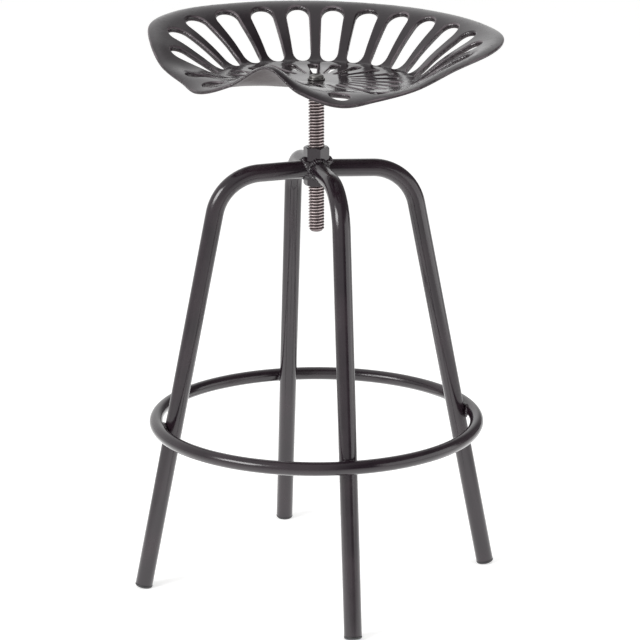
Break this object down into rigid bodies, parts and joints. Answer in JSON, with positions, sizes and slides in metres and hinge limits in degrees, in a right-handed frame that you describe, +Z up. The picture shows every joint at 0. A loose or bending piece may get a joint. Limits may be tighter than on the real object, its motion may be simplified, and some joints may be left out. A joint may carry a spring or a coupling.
{
  "type": "tractor seat stool",
  "caption": "Tall stool with a dished, slotted cast seat on a height screw, bent tube legs welded to a tall nut, and a foot ring.",
  "frame": {"origin": "on the floor under the screw's axis, in the middle of the four feet", "axes": "+Z up, -Y towards the seat's front (its pommel), +X to the right of someone who looks at the seat from the front"},
  "size_m": [0.5088, 0.4754, 0.8042],
  "materials": {
    "seat_paint": "gloss black paint on cast iron",
    "frame_paint": "satin-gloss black paint on steel tube",
    "screw_steel": "bare steel, turned thread, slightly brown",
    "bolt_steel": "dark steel",
    "cap_plastic": "black moulded plastic"
  },
  "bodies": {
    "frame": {"hub_nut": "frame_paint", "foot_ring": "frame_paint", "leg_1": "frame_paint", "hub_weld_1": "frame_paint", "ring_weld_1": "frame_paint", "foot_cap_1": "cap_plastic", "leg_2": "frame_paint", "hub_weld_2": "frame_paint", "ring_weld_2": "frame_paint", "foot_cap_2": "cap_plastic", "leg_3": "frame_paint", "hub_weld_3": "frame_paint", "ring_weld_3": "frame_paint", "foot_cap_3": "cap_plastic", "leg_4": "frame_paint", "hub_weld_4": "frame_paint", "ring_weld_4": "frame_paint", "foot_cap_4": "cap_plastic"},
    "seat_carrier": {"screw_flange": "frame_paint"},
    "seat": {"seat_pan": "seat_paint", "seat_bolt": "bolt_steel", "seat_washer": "bolt_steel", "adjusting_screw": "screw_steel"}
  },
  "joints": [
    {"name": "screw_lift", "type": "slide", "parent": "frame", "child": "seat_carrier", "axis": [0, 0, 1], "range_m": [-0.0762, 0.0635]},
    {"name": "screw_turn", "type": "hinge", "parent": "seat_carrier", "child": "seat", "pos_m": [0, 0, 0.7], "axis": [0, 0, 1], "range_deg": [-6480, 5400]}
  ],
  "couplings": [
    {"joint": "screw_lift", "follows": "screw_turn", "m_per_rad": 0.00067375}
  ]
}
